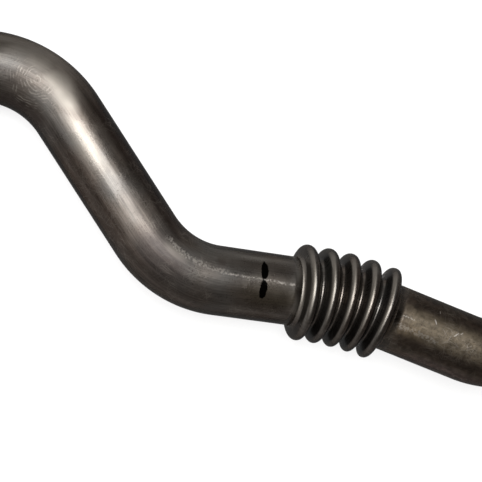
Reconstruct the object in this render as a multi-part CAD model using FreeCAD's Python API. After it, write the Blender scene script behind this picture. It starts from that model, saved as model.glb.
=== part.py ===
import math
import os

import FreeCAD, Part

# Lengths are in mm and angles in degrees. The pipe is described from its first end to its last.
tube_diameter = 22.0
wall = 1.0
bend_radius = 31.0        # centreline radius of the three plain bends
end_stub = 20.0           # straight length at both ends
first_bend = 60.0
slanted_run = 44.0
second_bend = 50.0
run_to_rings = 25.1       # ends half a pitch before the first crest
run_from_rings = 27.0     # starts half a pitch after the last crest
third_bend = 20.0
end_chamfer = 0.25

# Formed rings: the tube wall folded outwards.
ring_count = 5
ring_pitch = 6.6
ring_rise = 4.4           # from the tube's outside to a crest
ring_width = 2.8          # outside, between a ring's flat flanks
oval_width = 2.9          # the oval that rounds a crest, cut off by the flanks
oval_height = 3.2
groove_bevel = 1.1        # the wall's turn from a flank into the groove
rings_bend = 16.0         # between the first and the last crest
bend_growth = 0.4         # how much more the line turns from one gap between crests to the next
rings_roll = 20.5         # lifts the bend of the rings out of the plane of the plain bends

# The pipe lies as it comes to rest on a level floor.
rest_roll = -5.92         # about X
rest_pitch = 0.77         # about Y

tube_radius = tube_diameter / 2
bore_radius = tube_radius - wall
crest_radius = tube_radius + ring_rise
up_axis = FreeCAD.Vector(0, 0, 1)


class Station:
    """A point of the centreline with its direction and its up side."""

    def __init__(self, point, ahead, up):
        self.point = point
        self.ahead = ahead
        self.up = up

    def forward(self, length):
        return Station(self.point + self.ahead * length, self.ahead, self.up)

    def turned(self, centre, axis, angle):
        spin = FreeCAD.Rotation(axis, angle)
        point = centre + spin.multVec(self.point - centre)
        return Station(point, spin.multVec(self.ahead), spin.multVec(self.up))

    def bend_centre(self, angle):
        """Centre of a plain bend, on the left side where the angle is positive."""
        left = self.up.cross(self.ahead)
        return self.point + left * math.copysign(bend_radius, angle)

    def arced(self, axis, length, angle):
        """A station further along an arc that turns to the right about the axis."""
        centre = self.point + self.ahead.cross(axis) * (length / math.radians(angle))
        return self.turned(centre, axis, -angle)


def wall_face(station):
    """Cross-section of the tube wall, square to the centreline."""
    outline = Part.Wire(Part.makeCircle(tube_radius, station.point, station.ahead))
    bore = Part.Wire(Part.makeCircle(bore_radius, station.point, station.ahead))
    return Part.Face(outline).cut(Part.Face(bore)).Faces[0]


def straight(station, length):
    return wall_face(station).extrude(station.ahead * length), station.forward(length)


def bend(station, angle):
    centre = station.bend_centre(angle)
    piece = wall_face(station).revolve(centre, station.up, angle)
    return piece, station.turned(centre, station.up, angle)


def fold_section():
    """Section of one ring's wall; x runs along the ring's axis and y away from it."""
    reach = 0.75 * ring_pitch
    flank_x = ring_width / 2
    oval_y = crest_radius - oval_height / 2
    touch = math.asin(ring_width / oval_width)
    touch_y = oval_y + oval_height / 2 * math.cos(touch)
    points = [
        (flank_x, touch_y),
        (flank_x, tube_radius + groove_bevel),
        (flank_x + groove_bevel, tube_radius),
        (reach, tube_radius),
        (reach, bore_radius),
        (flank_x - wall, bore_radius),
        (flank_x - wall, crest_radius - wall),
    ]
    outline = points + [(-x, y) for x, y in reversed(points)]
    edges = Part.makePolygon([FreeCAD.Vector(x, y, 0) for x, y in outline]).Edges
    centre = FreeCAD.Vector(0, oval_y, 0)
    top = FreeCAD.Vector(0, crest_radius, 0)
    oval = Part.Ellipse(top, FreeCAD.Vector(oval_width / 2, oval_y, 0), centre)
    edges.append(Part.ArcOfEllipse(oval, -touch, touch).toShape())
    return Part.Face(Part.Wire(edges))


def ring_line(before):
    """Stations on the rings' centreline: groove, crest, groove and so on to the last groove."""
    stations = [before, before.forward(ring_pitch / 2)]
    axis = FreeCAD.Rotation(before.ahead, -rings_roll).multVec(before.up)
    gaps = ring_count - 1
    for k in range(gaps):
        turn = rings_bend / gaps + bend_growth * (k - (gaps - 1) / 2)
        for _ in range(2):
            stations.append(stations[-1].arced(axis, ring_pitch / 2, turn / 2))
    stations.append(stations[-1].forward(ring_pitch / 2))
    return stations


def rings(before):
    """The formed rings, each square to the centreline and mitred to the next in the groove."""
    fold = fold_section().revolve(FreeCAD.Vector(0, 0, 0), FreeCAD.Vector(1, 0, 0), 360)
    line = ring_line(before)
    pieces = []
    for k in range(1, len(line), 2):
        crest = line[k]
        piece = fold.copy()
        piece.Placement = FreeCAD.Placement(
            crest.point, FreeCAD.Rotation(crest.ahead, crest.up.cross(crest.ahead), crest.up, "XZY")
        )
        for way in (-1, 1):
            mitre = line[k + way]
            beyond = Part.makeCylinder(
                2 * crest_radius, ring_pitch, mitre.point, mitre.ahead * way
            )
            piece = piece.cut(beyond)
        pieces.append(piece.Solids[0])
    return pieces, line[-1]


def pipe():
    heading = math.radians(first_bend - second_bend)
    ahead = FreeCAD.Vector(math.cos(heading), math.sin(heading), 0)
    start = Station(FreeCAD.Vector(0, 0, 0), ahead, up_axis)
    pieces = []
    station = start

    def add(made):
        pieces.append(made[0])
        return made[1]

    station = add(straight(station, end_stub))
    station = add(bend(station, -first_bend))
    station = add(straight(station, slanted_run))
    station = add(bend(station, second_bend))
    station = add(straight(station, run_to_rings))
    folds, station = rings(station)
    pieces += folds
    station = add(straight(station, run_from_rings))
    station = add(bend(station, third_bend))
    station = add(straight(station, end_stub))
    body = pieces[0].fuse(pieces[1:]).removeSplitter()
    rims = [e for e in body.Edges if is_rim(e, start) or is_rim(e, station)]
    return body.makeChamfer(end_chamfer, rims).Solids[0]


def is_rim(edge, station):
    return edge.CenterOfMass.distanceToPoint(station.point) < 1e-3


def laid_down(body):
    """Turns the pipe to its resting pose, with the origin under the middle of its box."""
    corner = FreeCAD.Vector(0, 0, 0)
    body.rotate(corner, FreeCAD.Vector(1, 0, 0), rest_roll)
    body.rotate(corner, FreeCAD.Vector(0, 1, 0), rest_pitch)
    box = body.optimalBoundingBox(False, False)
    body.translate(FreeCAD.Vector(-box.Center.x, -box.Center.y, -box.ZMin))
    return body


body = laid_down(pipe())
print("pipe valid", body.isValid(), "closed", body.isClosed(), "volume", round(body.Volume, 1))
os.makedirs("parts", exist_ok=True)
body.exportStep("parts/pipe.step")
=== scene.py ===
import bpy
import bmesh
from math import radians, cos, sin, tan, asin, atan2, hypot, pi
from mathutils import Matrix, Quaternion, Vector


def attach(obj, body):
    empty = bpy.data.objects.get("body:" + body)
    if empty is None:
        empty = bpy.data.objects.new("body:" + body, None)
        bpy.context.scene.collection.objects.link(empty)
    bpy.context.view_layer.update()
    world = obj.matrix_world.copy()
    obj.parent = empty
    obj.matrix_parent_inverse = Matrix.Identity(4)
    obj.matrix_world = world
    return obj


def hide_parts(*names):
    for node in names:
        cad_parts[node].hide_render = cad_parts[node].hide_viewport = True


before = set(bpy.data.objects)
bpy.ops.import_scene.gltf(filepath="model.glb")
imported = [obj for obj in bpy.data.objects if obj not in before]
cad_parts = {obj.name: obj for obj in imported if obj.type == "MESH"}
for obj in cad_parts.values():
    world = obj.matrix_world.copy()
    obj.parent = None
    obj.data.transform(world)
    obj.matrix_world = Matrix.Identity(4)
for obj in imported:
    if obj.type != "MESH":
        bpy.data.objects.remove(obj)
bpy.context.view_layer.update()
scene = bpy.context.scene
mm = 0.001

# all lengths in mm, angles in degrees; the pipe is followed from its first end to its last
pipe = {
    "startPoint": (-107.2768, 29.6153, 11.784),
    "startAhead": (0.984478, 0.172722, -0.031143),
    "startUp": (0.013367, 0.10314, 0.994577),
    "radius": 10.975,          # a hair under the machined size
    "wall": 1.0,
    "bendRadius": 31.0,
    "endStub": 20.0,
    "firstBend": -60.0,
    "slantedRun": 44.0,
    "secondBend": 50.0,
    "runToRings": 25.1,
    "runFromRings": 27.0,
    "thirdBend": 20.0,
    "endChamfer": 0.25,
    "aroundSteps": 128,
    "bendStep": 1.4,           # degrees
    "endParts": 6,
    "slantedParts": 16,
    "runParts": 10,
}
rings = {
    "count": 5,
    "pitch": 6.6,
    "rise": 4.4,
    "crestRound": 1.7,
    "grooveRound": 1.25,
    "outerSteps": 9,
    "innerSteps": 4,
    "bend": 16.0,
    "bendGrowth": 0.4,         # how much more the line turns from one gap to the next
    "roll": 20.5,              # lifts the bend of the rings out of the plane of the plain bends
}


class Station:
    # a point of the centreline with its direction, its up side and how far along it lies
    def __init__(self, point, ahead, up, along):
        self.point, self.ahead, self.up, self.along = point, ahead, up, along

    def forward(self, step):
        return Station(self.point + self.ahead * step, self.ahead, self.up, self.along + step)

    def turned(self, axis, radius, angle):
        towards = axis.cross(self.ahead) * (radius if angle > 0 else -radius)
        centre = self.point + towards
        spin = Quaternion(axis, radians(angle))
        along = self.along + abs(radians(angle)) * radius
        return Station(centre - spin @ towards, spin @ self.ahead, spin @ self.up, along)


def halfFold(inset, steps):
    # half a ring's fold, groove to crest: distance before the crest and radius
    half, rise = rings["pitch"] / 2, rings["rise"]
    crest, groove = rings["crestRound"] - inset, rings["grooveRound"] + inset
    low = pipe["radius"] - inset
    between = rise - crest - groove
    turnEnd = pi / 2 - atan2(half, between) + asin((crest + groove) / hypot(half, between))
    points = []
    for k in range(steps + 1):
        turn = turnEnd * k / steps
        points.append((half - groove * sin(turn), low + groove * (1 - cos(turn))))
    for k in range(steps, -1, -1):
        turn = turnEnd * k / steps
        points.append((crest * sin(turn), low + rise - crest * (1 - cos(turn))))
    return points


def skinSections(radius, toCrest, chamfer):
    # stations along the pipe, each with the skin's radius there
    sections = []
    small = abs(chamfer)

    def straight(here, length, parts):
        for k in range(1, parts + 1):
            sections.append((here.forward(length * k / parts), radius))
        return here.forward(length)

    def bend(here, angle):
        parts = int(abs(angle) / pipe["bendStep"])
        for k in range(1, parts + 1):
            sections.append((here.turned(here.up, pipe["bendRadius"], angle * k / parts), radius))
        return here.turned(here.up, pipe["bendRadius"], angle)

    start = Station(Vector(pipe["startPoint"]), Vector(pipe["startAhead"]).normalized(),
                    Vector(pipe["startUp"]).normalized(), 0.0)
    sections.append((start, radius - chamfer))
    sections.append((start.forward(small), radius))
    here = straight(start.forward(small), pipe["endStub"] - small, pipe["endParts"])
    here = bend(here, pipe["firstBend"])
    here = straight(here, pipe["slantedRun"], pipe["slantedParts"])
    here = bend(here, pipe["secondBend"])
    here = straight(here, pipe["runToRings"], pipe["runParts"])

    pitch, gaps = rings["pitch"], rings["count"] - 1
    firstCrest = here.forward(pitch / 2)
    axis = Quaternion(firstCrest.ahead, -radians(rings["roll"])) @ firstCrest.up
    turns = [rings["bend"] / gaps + rings["bendGrowth"] * (k - (gaps - 1) / 2) for k in range(gaps)]

    def alongRings(length):
        station, left = firstCrest, length
        for turn in turns:
            if left > 0:
                step = min(left, pitch)
                station = station.turned(axis, pitch / radians(turn), -turn * step / pitch)
                left -= step
        return station.forward(left)

    fold = [(-x, r) for x, r in toCrest] + [(x, r) for x, r in reversed(toCrest[:-1])]
    for k in range(rings["count"]):
        for x, r in fold:
            sections.append((alongRings(k * pitch + x), r))
    here = alongRings((gaps + 0.5) * pitch)
    sections.append((here, radius))
    here = straight(here, pipe["runFromRings"], pipe["runParts"])
    here = bend(here, pipe["thirdBend"])
    here = straight(here, pipe["endStub"] - small, pipe["endParts"])
    sections.append((here.forward(small), radius - chamfer))
    return sections


def addSkin(bm, uvLayer, sections, inside):
    # the seam of the unrolled skin runs along the pipe's underside
    steps = pipe["aroundSteps"]
    loops = []
    for station, radius in sections:
        side = station.up.cross(station.ahead)
        ring = []
        for k in range(steps):
            turn = 2 * pi * k / steps
            out = side * sin(turn) - station.up * cos(turn)
            ring.append(bm.verts.new((station.point + out * radius) * mm))
        loops.append(ring)
    around = 2 * pi * pipe["radius"]
    for i in range(len(loops) - 1):
        low, high = sections[i][0].along / around, sections[i + 1][0].along / around
        for k in range(steps):
            n = (k + 1) % steps
            corners = [loops[i][k], loops[i + 1][k], loops[i + 1][n], loops[i][n]]
            places = [(k / steps, low), (k / steps, high), ((k + 1) / steps, high), ((k + 1) / steps, low)]
            if inside:
                corners.reverse()
                places.reverse()
            face = bm.faces.new(corners)
            face.smooth = True
            for loop, place in zip(face.loops, places):
                loop[uvLayer].uv = place
    return loops


def buildPipe():
    mesh = bpy.data.meshes.new("pipeShell")
    bm = bmesh.new()
    uvLayer = bm.loops.layers.uv.new("unrolled")
    chamfer, wall = pipe["endChamfer"], pipe["wall"]
    outside = skinSections(pipe["radius"], halfFold(0.0, rings["outerSteps"]), chamfer)
    inside = skinSections(pipe["radius"] - wall, halfFold(wall, rings["innerSteps"]), -chamfer)
    outer, inner = addSkin(bm, uvLayer, outside, False), addSkin(bm, uvLayer, inside, True)
    steps = pipe["aroundSteps"]
    for a, b in ((outer[0], inner[0]), (inner[-1], outer[-1])):
        for k in range(steps):
            n = (k + 1) % steps
            bm.faces.new([a[k], a[n], b[n], b[k]])
    bm.to_mesh(mesh)
    bm.free()
    piece = bpy.data.objects.new("pipeShell", mesh)
    scene.collection.objects.link(piece)
    return piece


pipePiece = buildPipe()
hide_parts("pipe")
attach(pipePiece, "root")
print("pipe built:", len(pipePiece.data.polygons), "faces")


class Graph:
    # short calls for the nodes of one material
    def __init__(self, mat):
        self.nodes, self.links = mat.node_tree.nodes, mat.node_tree.links

    def fill(self, socket, value):
        if isinstance(value, bpy.types.NodeSocket):
            self.links.new(value, socket)
        else:
            socket.default_value = value

    def put(self, kind, inputs=None, **options):
        node = self.nodes.new(kind)
        for name, value in options.items():
            setattr(node, name, value)
        for name, value in (inputs or {}).items():
            self.fill(node.inputs[name], value)
        return node

    def math(self, operation, a, b=0.0, clamp=False):
        return self.put("ShaderNodeMath", {0: a, 1: b}, operation=operation, use_clamp=clamp).outputs[0]

    def product(self, *values):
        result = values[0]
        for value in values[1:]:
            result = self.math("MULTIPLY", result, value)
        return result

    def most(self, *values):
        result = values[0]
        for value in values[1:]:
            result = self.math("MAXIMUM", result, value)
        return result

    def ramp(self, value, edges, toLow=0.0, toHigh=1.0):
        return self.put("ShaderNodeMapRange", {"Value": value, "From Min": edges[0], "From Max": edges[1],
                        "To Min": toLow, "To Max": toHigh}, interpolation_type="SMOOTHSTEP").outputs[0]

    def stretch(self, value, edges):
        # rises over the first two edges and falls over the last two
        return self.product(self.ramp(value, edges[:2]), self.ramp(value, edges[2:], 1.0, 0.0))

    def oval(self, spot):
        # a soft oval on the skin
        u = self.math("DIVIDE", self.math("SUBTRACT", self.along, spot["at"][0]), spot["reach"][0])
        v = self.math("DIVIDE", self.math("SUBTRACT", self.around, spot["at"][1]), spot["reach"][1])
        away = self.math("SQRT", self.math("ADD", self.product(u, u), self.product(v, v)))
        return self.ramp(away, (0.3, 1.0), spot["share"], 0.0)

    def mix(self, factor, a, b):
        return self.put("ShaderNodeMix", {0: factor, 6: a, 7: b}, data_type="RGBA").outputs[2]

    def noise(self, vector, scale, detail=2.0, flat=False):
        return self.put("ShaderNodeTexNoise", {"Vector": vector, "Scale": scale, "Detail": detail},
                        noise_dimensions="2D" if flat else "3D").outputs[0]

    def shake(self, vector, spread):
        # a fine unevenness around 0
        return self.math("SUBTRACT", self.noise(self.scaled(vector, spread), 1.0, 3.0, True), 0.5)

    def scaled(self, vector, scale, turn=0.0, place=(0, 0, 0)):
        return self.put("ShaderNodeMapping", {"Vector": vector, "Scale": scale, "Location": place,
                                              "Rotation": (0, 0, radians(turn))}).outputs[0]

    def findPlaces(self):
        # mm in space, mm on the unrolled skin, and its two directions alone
        turnLength = 2 * pi * pipe["radius"]
        self.space = self.scaled(self.put("ShaderNodeTexCoord").outputs["Object"], (1 / mm, 1 / mm, 1 / mm))
        unrolled = self.put("ShaderNodeUVMap", uv_map="unrolled").outputs[0]
        self.skin = self.scaled(unrolled, (turnLength, turnLength, 1))
        parts = self.put("ShaderNodeSeparateXYZ", {"Vector": self.skin}).outputs
        self.around, self.along = parts[0], parts[1]


# places on the steel are mm along the pipe and mm around it from the underside
# stretches of the pipe: each begins, is full, is still full and has ended
stretches = {
    "leftPaintedShade": (44.0, 58.0, 96.0, 118.0),
    "secondBend": (74.0, 102.0, 118.0, 132.0),
    "firstGroove": (143.5, 147.5, 149.0, 150.2),
    "rings": (147.5, 149.5, 180.0, 182.0),
    "besideRing": (179.5, 181.0, 181.5, 188.5),
    "lastGroove": (179.5, 181.0, 183.0, 188.0),
}
tarnish = {
    "greyTone": (0.066, 0.063, 0.059, 1.0),
    "brownTone": (0.070, 0.060, 0.052, 1.0),
    "oliveTone": (0.070, 0.058, 0.042, 1.0),     # beyond the rings
    "oliveFrom": (178.0, 185.0),
    "patchScale": 0.05,        # brown patches on the grey, per mm
    "patchEdges": (0.38, 0.62),
    "cloudSpread": (0.5, 0.12, 1),     # per mm, around and along
    "softEdges": (0.25, 0.75), # of the noise, for clouds and streaks
    "clouds": (0.86, 1.14),
    "streaks": (0.82, 1.18),
    "mottleScale": 0.5,
    "mottleEdges": (0.34, 0.66),
    "mottle": (-0.19, 0.21),   # on the olive tone
}
# tinted and darker films: middle, reach along and around, and how strong; the dark ones are painted shade
# dimming the reflections on the bends, the runs and the lower side of the rings, the brown and golden ones
# are tarnish tints
filmsAndPaintedShade = [
    {"at": (104.0, 38.5), "reach": (14.0, 9.5), "share": 0.85, "tone": (0.030, 0.0245, 0.0225, 1.0)},
    {"at": (98.5, 31.0), "reach": (10.0, 4.5), "share": 0.60, "tone": (0.030, 0.026, 0.024, 1.0)},
    {"at": (115.0, 42.0), "reach": (13.0, 5.5), "share": 0.50, "tone": (0.034, 0.029, 0.026, 1.0)},
    {"at": (139.0, 38.8), "reach": (14.0, 5.0), "share": 0.80, "tone": (0.066, 0.057, 0.042, 1.0)},
    {"at": (186.0, 39.5), "reach": (9.0, 4.5), "share": 0.60, "tone": (0.100, 0.078, 0.052, 1.0)},
    {"at": (27.0, 39.5), "reach": (14.0, 5.0), "share": 0.50, "tone": (0.040, 0.034, 0.031, 1.0)},
    {"at": (84.0, 34.0), "reach": (15.0, 5.5), "share": 0.55, "tone": (0.036, 0.032, 0.029, 1.0)},
    {"at": (165.0, 47.0), "reach": (24.0, 9.0), "share": 0.65, "tone": (0.034, 0.030, 0.027, 1.0)},
    {"at": (202.0, 50.0), "reach": (22.0, 7.0), "share": 0.75, "tone": (0.115, 0.088, 0.084, 1.0)},
    {"at": (78.0, 45.5), "reach": (34.0, 6.0), "share": 0.75, "tone": (0.066, 0.051, 0.042, 1.0)},
]


def tarnishAndShadeTone(g, olive):
    patches = g.ramp(g.noise(g.space, tarnish["patchScale"]), tarnish["patchEdges"])
    tone = g.mix(patches, tarnish["greyTone"], tarnish["brownTone"])
    tone = g.mix(olive, tone, tarnish["oliveTone"])
    for tintedPatch in filmsAndPaintedShade:
        tone = g.mix(g.oval(tintedPatch), tone, tintedPatch["tone"])
    return tone


def unevenness(g, olive, grain):
    # clouds and streaks everywhere, mottling beyond the rings
    clouds = g.noise(g.scaled(g.skin, tarnish["cloudSpread"]), 1.0, 3.0, True)
    clouds = g.ramp(clouds, tarnish["softEdges"], *tarnish["clouds"])
    streaks = g.ramp(grain, tarnish["softEdges"], *tarnish["streaks"])
    mottle = g.noise(g.skin, tarnish["mottleScale"], 3.0, True)
    mottle = g.ramp(mottle, tarnish["mottleEdges"], *tarnish["mottle"])
    return g.product(clouds, streaks, g.math("ADD", g.product(mottle, olive), 1.0))


# the two sides of a ring, in the same way, from 0 in one groove to 1 in the next; the near flank gets a
# painted highlight and the far flank painted shade
flanks = {
    "near": (0.22, 0.32, 0.42, 0.48),
    "far": (0.46, 0.56, 0.80, 0.95),
    "nearUntil": (36.0, 45.0),         # the painted highlight on the near flank fades towards the pipe's sides
    "nearUntilShare": 0.15,
    "nearFrom": (21.0, 30.0),
    "nearFromShare": 0.1,
}


def ringFlanks(g, onRings):
    # the phase runs from 0 to 1 over each ring, from groove to groove
    bends = radians(abs(pipe["firstBend"]) + abs(pipe["secondBend"])) * pipe["bendRadius"]
    start = pipe["endStub"] + pipe["slantedRun"] + pipe["runToRings"] + bends
    phase = g.math("FRACT", g.math("DIVIDE", g.math("SUBTRACT", g.along, start), rings["pitch"]))
    # near flank: mask of the painted highlight; far flank: mask of the painted shade
    near = g.product(g.stretch(phase, flanks["near"]), onRings,
                     g.ramp(g.around, flanks["nearUntil"], 1.0, flanks["nearUntilShare"]),
                     g.ramp(g.around, flanks["nearFrom"], flanks["nearFromShare"], 1.0))
    far = g.product(g.stretch(phase, flanks["far"]), onRings)
    return near, far


# dark tone: painted shade on the pipe's sides, inside the first bend, beside the olive band, beside the last
# ring and on each ring's far flank, together with real sooty pits and smudges
shadeAndSoot = {
    "tone": (0.020, 0.0150, 0.013, 1.0),
    "rightFrom": (41.0, 46.5),         # painted shade on the right side, seen along the pipe
    "rightShare": 0.50,
    "firstBendUntil": (46.0, 62.0),    # painted shade along the inside of the first bend
    "firstBendShare": 0.85,
    "leftUntil": (28.0, 31.2),         # painted shade on the left side of the slanted run
    "leftFrom": (20.0, 26.0),
    "leftFromShare": 0.5,
    "leftShare": 0.85,
    "bandMiddle": 35.6,                # middle of the bright olive band beyond the rings, with painted shade beside it
    "besideBand": (3.4, 6.2),          # distances from its middle
    "farFromBand": (8.0, 13.0),
    "farFromBandShare": 0.70,
    "bandShare": 0.80,
    "ringUntil": (42.0, 48.0),         # painted shade at the foot of the last ring, around the pipe
    "ringUntilShare": 0.3,
    "besideRingShare": 0.62,
    "flankShare": 0.60,                # painted shade on the far flank of each ring
    "pitScale": 1.8,
    "pitEdges": (0.60, 0.72),
    "pitGroupScale": 0.16,
    "pitGroupEdges": (0.42, 0.56),
    "pitShare": 0.7,
    "smudgeShare": 0.75,
    "smudgeCore": 0.5,                 # share of the reach that is fully sooty
    "smudgeFade": 0.9,
    "smudgeShake": 1.5,
    "smudgeScale": 0.7,
}
# sooty spots
smudges = [
    {"at": (122.0, 30.0), "reach": 2.3},
    {"at": (141.2, 42.4), "reach": 1.2},
    {"at": (187.0, 29.5), "reach": 2.6},
]


def shadeAndSootShare(g, olive, farFlankShade):
    rightSide = g.ramp(g.around, shadeAndSoot["rightFrom"])
    insideBend = g.product(rightSide, g.ramp(g.along, shadeAndSoot["firstBendUntil"], shadeAndSoot["firstBendShare"], 0.0))
    leftSide = g.product(g.ramp(g.around, shadeAndSoot["leftUntil"], 1.0, 0.0),
                         g.ramp(g.around, shadeAndSoot["leftFrom"], shadeAndSoot["leftFromShare"], 1.0),
                         g.stretch(g.along, stretches["leftPaintedShade"]), shadeAndSoot["leftShare"])
    fromBand = g.math("ABSOLUTE", g.math("SUBTRACT", g.around, shadeAndSoot["bandMiddle"]))
    besideBand = g.product(g.ramp(fromBand, shadeAndSoot["besideBand"]),
                           g.ramp(fromBand, shadeAndSoot["farFromBand"], 1.0, shadeAndSoot["farFromBandShare"]),
                           olive, shadeAndSoot["bandShare"])
    besideRing = g.product(g.stretch(g.along, stretches["besideRing"]),
                           g.ramp(g.around, shadeAndSoot["ringUntil"], 1.0, shadeAndSoot["ringUntilShare"]),
                           shadeAndSoot["besideRingShare"])
    pits = g.product(g.ramp(g.noise(g.skin, shadeAndSoot["pitScale"], 2.0, True), shadeAndSoot["pitEdges"]),
                     g.ramp(g.noise(g.space, shadeAndSoot["pitGroupScale"]), shadeAndSoot["pitGroupEdges"]), shadeAndSoot["pitShare"])
    share = g.most(g.product(rightSide, shadeAndSoot["rightShare"]), insideBend, leftSide)
    share = g.most(share, besideBand, besideRing, pits)
    unevenEdge = g.product(g.noise(g.skin, shadeAndSoot["smudgeScale"], 2.0, True), shadeAndSoot["smudgeShake"])
    for smudge in smudges:
        place = (smudge["at"][1], smudge["at"][0], 0)
        away = g.put("ShaderNodeVectorMath", {0: g.skin, 1: place}, operation="DISTANCE").outputs["Value"]
        edges = (smudge["reach"] * shadeAndSoot["smudgeCore"], smudge["reach"] + shadeAndSoot["smudgeFade"])
        share = g.most(share, g.ramp(g.math("ADD", away, unevenEdge), edges, shadeAndSoot["smudgeShare"], 0.0))
    return g.most(share, g.product(farFlankShade, shadeAndSoot["flankShare"]))


scratching = {
    "turns": (8.0, 41.0, 72.0, 107.0, 139.0, 166.0),
    "length": 6.0,
    "width": 0.30,
    "edges": (0.66, 0.78),
    "step": (13.7, 5.3),       # moves each set of scratches on
    "gateScale": 0.11,
    "gateEdges": (0.42, 0.62),
    "gateShare": 0.2,
    "brightness": 0.4,
    "depth": 0.30,
}


def scratchMarks(g):
    # scratches in all directions, thinned out by a wide noise
    found = []
    for i, way in enumerate(scratching["turns"]):
        turned = g.scaled(g.skin, (1, 1, 1), way, (scratching["step"][0] * i, scratching["step"][1] * i, 0))
        thin = g.scaled(turned, (1 / scratching["width"], 1 / scratching["length"], 1))
        found.append(g.ramp(g.noise(thin, 1.0, 1.0, True), scratching["edges"]))
    gate = g.noise(g.space, scratching["gateScale"])
    return g.product(g.most(*found), g.ramp(gate, scratching["gateEdges"], scratching["gateShare"], 1.0))


brushing = {
    "width": 0.42,
    "length": 16.0,
    "beyondRings": 0.3,        # share of it that is left on the olive stretch
    "depth": 0.45,
}


def brushedGrain(g, olive):
    grain = g.noise(g.scaled(g.skin, (1 / brushing["width"], 1 / brushing["length"], 1)), 1.0, 2.0, True)
    strength = g.ramp(olive, (0.0, 1.0), 1.0, brushing["beyondRings"])
    return g.math("ADD", g.product(g.math("SUBTRACT", grain, 0.5), strength), 0.5)


# circular polishing marks on the first bend
swirl = {
    "centre": (-68.7, 31.4, 21.8),
    "reach": 11.0,
    "fadeFrom": 0.6,           # share of the reach where the arcs begin to fade
    "spot": (0.8, 1.7),        # edges of the rougher spot, as shares of the reach
    "pitch": 0.85,
    "wobbleScale": 0.22,
    "wobble": 2.6,
    "breakScale": 0.45,
    "breakEdges": (0.44, 0.62),
    "brightness": 0.75,
    "depth": 0.4,
}


def swirlMarks(g):
    # the arcs themselves, and the rougher spot that they lie in
    wobble = g.put("ShaderNodeTexNoise", {"Vector": g.space, "Scale": swirl["wobbleScale"], "Detail": 2.0})
    centre = tuple(-v for v in swirl["centre"])
    fromCentre = g.put("ShaderNodeVectorMath", {0: g.space, 1: centre}, operation="ADD").outputs[0]
    moved = g.put("ShaderNodeVectorMath", {0: wobble.outputs[1], 1: (swirl["wobble"],) * 3, 2: fromCentre},
                  operation="MULTIPLY_ADD").outputs[0]
    away = g.put("ShaderNodeVectorMath", {0: moved}, operation="LENGTH").outputs["Value"]
    arcs = g.ramp(g.math("SINE", g.product(away, 2 * pi / swirl["pitch"])), (0.0, 1.0))
    broken = g.ramp(g.noise(g.space, swirl["breakScale"], 3.0), swirl["breakEdges"])
    near = g.ramp(away, (swirl["reach"] * swirl["fadeFrom"], swirl["reach"]), 1.0, 0.0)
    spot = g.ramp(away, [swirl["reach"] * share for share in swirl["spot"]], 1.0, 0.0)
    return g.product(arcs, broken, near), spot


# painted glints: thin bright lines and flecks painted where the lamps' reflections fall, each from one place
# to another
paintedGlints = [
    {"from": (100.0, 32.0), "to": (126.0, 33.2), "halfWidth": 0.85, "wander": 2.2, "strength": 0.42},
    {"from": (122.0, 33.6), "to": (148.0, 34.0), "halfWidth": 0.28, "wander": 1.0, "strength": 0.60},
    {"from": (136.0, 33.9), "to": (148.5, 34.3), "halfWidth": 0.36, "wander": 0.9, "strength": 0.95},
    {"from": (181.0, 38.0), "to": (198.0, 38.6), "halfWidth": 0.75, "wander": 2.6, "strength": 0.28},
    {"from": (183.5, 34.5), "to": (188.0, 34.9), "halfWidth": 0.22, "wander": 1.2, "strength": 0.4},
    {"from": (193.9, 31.9), "to": (194.9, 33.5), "halfWidth": 0.20, "wander": 0.3, "strength": 0.9},
    {"from": (195.0, 28.2), "to": (195.3, 29.3), "halfWidth": 0.18, "wander": 0.3, "strength": 0.6},
    {"from": (201.3, 35.0), "to": (202.6, 33.2), "halfWidth": 0.20, "wander": 0.4, "strength": 0.65},
    {"from": (203.2, 33.6), "to": (203.9, 32.6), "halfWidth": 0.18, "wander": 0.3, "strength": 0.6},
]
glintShaping = {
    "edge": (0.5, 1.3),        # where a painted glint line fades, in half widths
    "tickScale": 1.3,
    "tickEdges": (0.42, 0.55),
    "tickedFrom": 3.0,         # longer glint lines are broken into ticks
    "shakeSpread": (0.4, 1.4, 1),
}


def paintedGlintMarks(g):
    ticks = g.ramp(g.noise(g.skin, glintShaping["tickScale"], 2.0, True), glintShaping["tickEdges"])
    shake = g.shake(g.skin, glintShaping["shakeSpread"])
    found = []
    for glint in paintedGlints:
        dAlong, dAround = (b - a for a, b in zip(glint["from"], glint["to"]))
        length = hypot(dAlong, dAround)
        u = g.math("SUBTRACT", g.along, glint["from"][0])
        v = g.math("SUBTRACT", g.around, glint["from"][1])
        run = g.math("ADD", g.product(u, dAlong / length), g.product(v, dAround / length))
        off = g.math("SUBTRACT", g.product(v, dAlong / length), g.product(u, dAround / length))
        off = g.math("ABSOLUTE", g.math("ADD", off, g.product(shake, glint["wander"])))
        beyond = g.math("ABSOLUTE", g.math("SUBTRACT", run, length / 2))
        stroke = g.product(g.ramp(off, [glint["halfWidth"] * share for share in glintShaping["edge"]], 1.0, 0.0),
                           g.ramp(beyond, (length * 3 / 8, length / 2), 1.0, 0.0), glint["strength"])
        found.append(g.product(stroke, ticks) if length > glintShaping["tickedFrom"] else stroke)
    return g.most(*found)


# the stroke of marker ink is two daubs, the first a little more pointed
ink = {
    "along": 136.3,
    "halfWidth": 1.15,
    "daubs": [
        {"middle": 30.8, "reach": 3.2, "bluntness": 2.0},
        {"middle": 36.9, "reach": 3.0, "bluntness": 2.6},
    ],
    "sideBluntness": 0.8,      # across a daub, as a share of its bluntness
    "raggedSpread": (0.7, 1.4, 1),
    "raggedness": 1.1,
    "edge": (0.90, 1.10),
    "colour": (0.0008, 0.0007, 0.0007, 1.0),
}


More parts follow.
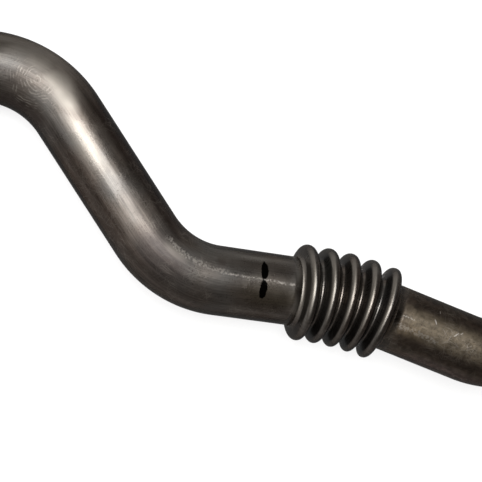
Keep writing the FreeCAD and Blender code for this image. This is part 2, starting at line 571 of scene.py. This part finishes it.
def inkDaubs(g):
    aside = g.math("ABSOLUTE", g.math("SUBTRACT", g.along, ink["along"]))
    aside = g.math("DIVIDE", aside, ink["halfWidth"])
    found = []
    for daub in ink["daubs"]:
        off = g.math("ABSOLUTE", g.math("SUBTRACT", g.around, daub["middle"]))
        off = g.math("POWER", g.math("DIVIDE", off, daub["reach"]), daub["bluntness"])
        found.append(g.math("ADD", g.math("POWER", aside, daub["bluntness"] * ink["sideBluntness"]), off))
    ragged = g.product(g.shake(g.skin, ink["raggedSpread"]), ink["raggedness"])
    return g.ramp(g.math("ADD", g.math("MINIMUM", *found), ragged), ink["edge"], 1.0, 0.0)


# painted highlights: places painted brighter where the reflections are brighter, given like the films
paintedHighlights = [
    {"at": (63.0, 38.2), "reach": (15.0, 4.5), "share": 0.55},
    {"at": (44.5, 32.8), "reach": (8.0, 5.5), "share": 0.95},
    {"at": (48.5, 34.8), "reach": (8.0, 4.6), "share": 0.95},
    {"at": (36.5, 30.5), "reach": (7.0, 5.0), "share": 0.75},
    {"at": (32.0, 27.0), "reach": (19.0, 8.0), "share": 0.60},
    {"at": (106.5, 33.8), "reach": (6.5, 2.2), "share": 0.45},
    {"at": (132.0, 28.4), "reach": (21.0, 5.0), "share": 0.38},
    {"at": (140.0, 34.6), "reach": (13.0, 6.0), "share": 0.42},
    {"at": (148.6, 34.0), "reach": (2.6, 16.0), "share": 0.90},
]
steel = {
    "paleAndHighlightTone": (0.129, 0.118, 0.104, 1.0),      # where a scratch has cut the tarnish, and for the painted highlights
    "glintTone": (0.24, 0.225, 0.205, 1.0),
    "edgeTint": (0.10, 0.085, 0.075, 1.0),       # dims the steel where it is seen at a slant
    "reliefDepth": 0.02,       # mm, of the brushing and the scratches
    "metallic": 0.95,
    "ringMetallic": 0.92,      # the rings are duller
    "roughness": (0.26, 0.30),
    "roughnessScale": 0.3,
    "roughnessEdges": (0.3, 0.7),
    "swirlRoughness": 0.17,    # added where the first bend was polished in circles
    "oliveRoughness": 0.10,    # added beyond the rings
    "bendRoughness": 0.13,     # added on the second bend
    "ringRoughness": 0.02,     # added on the rings
    "flankRoughness": 0.13,    # added on the near flank of each ring
    "grooveRoughness": 0.16,   # added beside the first and the last ring
    "brushedShine": 0.60,      # how far highlights spread around the tube
    "polish": 0.06,            # share of a second, sharper reflection
    "polishRoughness": 0.12,
}


def steelRoughness(g, added):
    # a base that wavers slightly, and what each stretch adds
    rough = g.ramp(g.noise(g.space, steel["roughnessScale"]), steel["roughnessEdges"], *steel["roughness"])
    for share, amount in added:
        rough = g.math("ADD", rough, g.product(share, amount))
    return rough


def makeSteel():
    mat = bpy.data.materials.new("darkSteel")
    mat.use_nodes = True
    g = Graph(mat)
    g.findPlaces()
    shader = g.nodes["Principled BSDF"]
    olive = g.ramp(g.along, tarnish["oliveFrom"])
    onRings = g.stretch(g.along, stretches["rings"])
    nearFlankHighlight, farFlankShade = ringFlanks(g, onRings)
    scratches, grain = scratchMarks(g), brushedGrain(g, olive)
    arcs, polished = swirlMarks(g)
    inked = inkDaubs(g)

    # painted shade and soot darken the tarnish tone
    tone = g.mix(shadeAndSootShare(g, olive, farFlankShade), tarnishAndShadeTone(g, olive), shadeAndSoot["tone"])
    tone = g.put("ShaderNodeVectorMath", {0: tone, "Scale": unevenness(g, olive, grain)}, operation="SCALE")
    scratchesAndHighlights = g.math("ADD", g.product(scratches, scratching["brightness"]),
                    g.product(arcs, swirl["brightness"]), True)
    # painted highlights on the near flanks of the rings and at the listed places
    scratchesAndHighlights = g.most(scratchesAndHighlights, nearFlankHighlight, *(g.oval(spot) for spot in paintedHighlights))
    colour = g.mix(scratchesAndHighlights, tone.outputs[0], steel["paleAndHighlightTone"])
    # painted glints: bright lines and flecks where the lamps reflect
    colour = g.mix(paintedGlintMarks(g), colour, steel["glintTone"])
    g.links.new(g.mix(inked, colour, ink["colour"]), shader.inputs["Base Color"])

    height = g.math("SUBTRACT", g.product(grain, brushing["depth"]),
                    g.product(scratches, scratching["depth"]))
    height = g.math("SUBTRACT", height, g.product(arcs, swirl["depth"]))
    bump = g.put("ShaderNodeBump", {"Height": height, "Strength": 1.0, "Distance": steel["reliefDepth"] * mm})
    g.links.new(bump.outputs[0], shader.inputs["Normal"])
    g.links.new(bump.outputs[0], shader.inputs["Coat Normal"])

    outerGrooves = g.most(g.stretch(g.along, stretches["firstGroove"]),
                          g.stretch(g.along, stretches["lastGroove"]))
    rough = steelRoughness(g, [
        (polished, steel["swirlRoughness"]),
        (olive, steel["oliveRoughness"]),
        (g.stretch(g.along, stretches["secondBend"]), steel["bendRoughness"]),
        (onRings, steel["ringRoughness"]),
        (nearFlankHighlight, steel["flankRoughness"]),
        (outerGrooves, steel["grooveRoughness"]),
    ])
    g.links.new(rough, shader.inputs["Roughness"])
    shine = g.ramp(onRings, (0.0, 1.0), steel["metallic"], steel["ringMetallic"])
    g.links.new(g.most(shine, inked), shader.inputs["Metallic"])
    shader.inputs["Specular Tint"].default_value = steel["edgeTint"]
    shader.inputs["Coat Weight"].default_value = steel["polish"]
    shader.inputs["Coat Roughness"].default_value = steel["polishRoughness"]
    shader.inputs["Anisotropic"].default_value = steel["brushedShine"]
    tangent = g.put("ShaderNodeTangent", direction_type="UV_MAP", uv_map="unrolled")
    g.links.new(tangent.outputs[0], shader.inputs["Tangent"])
    return mat


pipePiece.data.materials.append(makeSteel())
print("steel made")


studio = {
    "floorColour": (0.18, 0.18, 0.18, 1.0),
    "floorGlow": 0.8,          # with the lit colour this comes to white
    "floorSize": 20.0,
    "floorRoughness": 0.9,
    "worldColour": (1.0, 0.86, 0.76, 1.0),
    "worldLight": 0.22,
}


def makeFloor():
    mesh = bpy.data.meshes.new("floor")
    s = studio["floorSize"]
    mesh.from_pydata([(-s, -s, 0), (s, -s, 0), (s, s, 0), (-s, s, 0)], [], [(0, 1, 2, 3)])
    floor = bpy.data.objects.new("floor", mesh)
    scene.collection.objects.link(floor)
    mat = bpy.data.materials.new("floorPaper")
    mat.use_nodes = True
    g = Graph(mat)
    shader = g.nodes["Principled BSDF"]
    shader.inputs["Base Color"].default_value = studio["floorColour"]
    shader.inputs["Roughness"].default_value = studio["floorRoughness"]
    shader.inputs["Specular IOR Level"].default_value = 0.0
    shader.inputs["Emission Color"].default_value = (1.0, 1.0, 1.0, 1.0)
    path = g.put("ShaderNodeLightPath").outputs
    seen = g.math("ADD", path["Is Camera Ray"], path["Is Glossy Ray"], True)
    seen = g.math("ADD", seen, path["Is Transmission Ray"], True)
    g.links.new(g.math("MULTIPLY", seen, studio["floorGlow"]), shader.inputs["Emission Strength"])
    floor.data.materials.append(mat)


def makeWorld():
    world = bpy.data.worlds.new("studioWorld")
    world.use_nodes = True
    back = world.node_tree.nodes["Background"]
    back.inputs["Color"].default_value = studio["worldColour"]
    back.inputs["Strength"].default_value = studio["worldLight"]
    scene.world = world


# where each round lamp stands as seen from the pipe, half its width in degrees, and its radiance
lamps = {
    "overhead": {"azimuth": 137, "height": 74, "halfWidth": 20, "radiance": 15.5},
    "sideFill": {"azimuth": 205, "height": 50, "halfWidth": 25, "radiance": 1.5},
    "backFill": {"azimuth": 140, "height": 40, "halfWidth": 18, "radiance": 0.8},
    "spark": {"azimuth": 50, "height": 66, "halfWidth": 3.5, "radiance": 6.0},
}
lampDistance = 3.0


def makeLamps():
    for name, lamp in lamps.items():
        data = bpy.data.lights.new(name, "AREA")
        data.shape = "DISK"
        radius = lampDistance * tan(radians(lamp["halfWidth"]))
        data.size = 2 * radius
        data.energy = lamp["radiance"] * pi * pi * radius ** 2
        light = bpy.data.objects.new(name, data)
        az, el = radians(lamp["azimuth"]), radians(lamp["height"])
        place = Vector((cos(az) * cos(el), sin(az) * cos(el), sin(el)))
        light.location = place * lampDistance
        light.rotation_euler = place.to_track_quat("Z", "Y").to_euler()
        scene.collection.objects.link(light)


makeFloor()
makeWorld()
makeLamps()
print("studio made")


camera = {
    "place": (-0.104855, -0.043498, 0.442416),
    "turn": (2.7084, -14.297, 7.4899),
    "lens": 104.564,
    "sensor": 36.0,
}


def makeCamera():
    data = bpy.data.cameras.new("camera")
    data.lens = camera["lens"]
    data.sensor_width = camera["sensor"]
    eye = bpy.data.objects.new("camera", data)
    eye.location = camera["place"]
    eye.rotation_euler = [radians(a) for a in camera["turn"]]
    scene.collection.objects.link(eye)
    scene.camera = eye


makeCamera()
scene.view_settings.view_transform = "Standard"
print("camera set")
